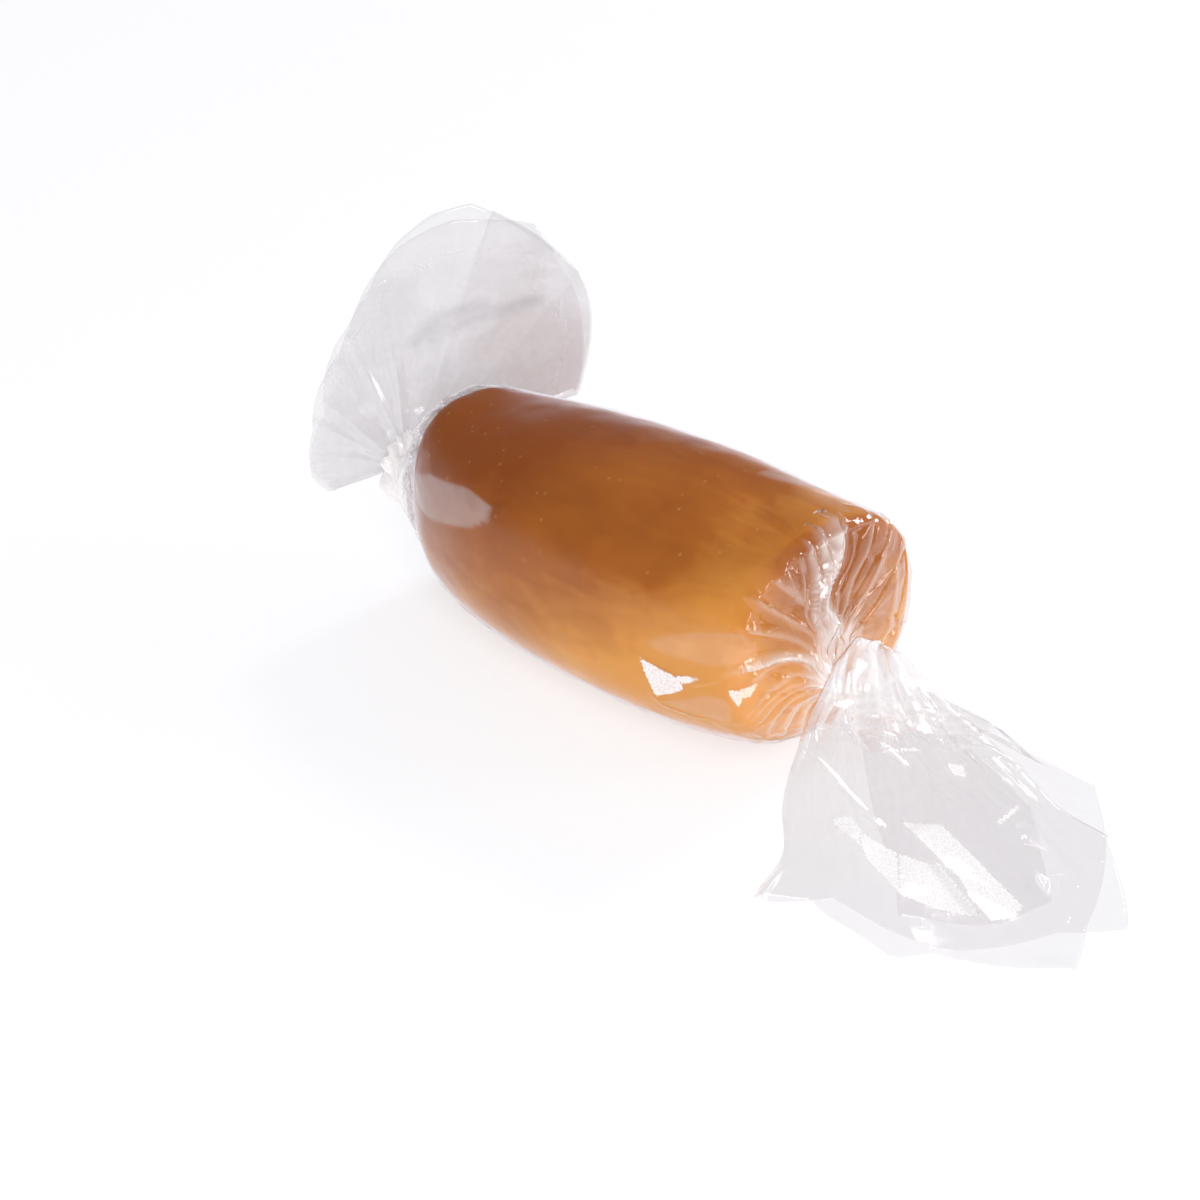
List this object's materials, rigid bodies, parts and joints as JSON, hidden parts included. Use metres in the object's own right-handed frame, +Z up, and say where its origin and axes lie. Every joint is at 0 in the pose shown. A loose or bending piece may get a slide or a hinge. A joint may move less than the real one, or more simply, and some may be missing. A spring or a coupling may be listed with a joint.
{
  "type": "wrapped caramel candy",
  "caption": "Soft caramel log in clear film, twisted shut at each end with fanned tails.",
  "frame": {"origin": "on the floor, under the middle of the overall size", "axes": "+X along the candy towards the tail that droops to the floor, +Z up, -Y towards the side that this tail turns to"},
  "size_m": [0.0788, 0.0344, 0.0276],
  "materials": {
    "caramel": "smooth, slightly glossy soft caramel",
    "clear_film": "thin clear glossy film, crinkled"
  },
  "bodies": {
    "root": {"caramel": "caramel", "wrapper": "clear_film"}
  },
  "joints": []
}
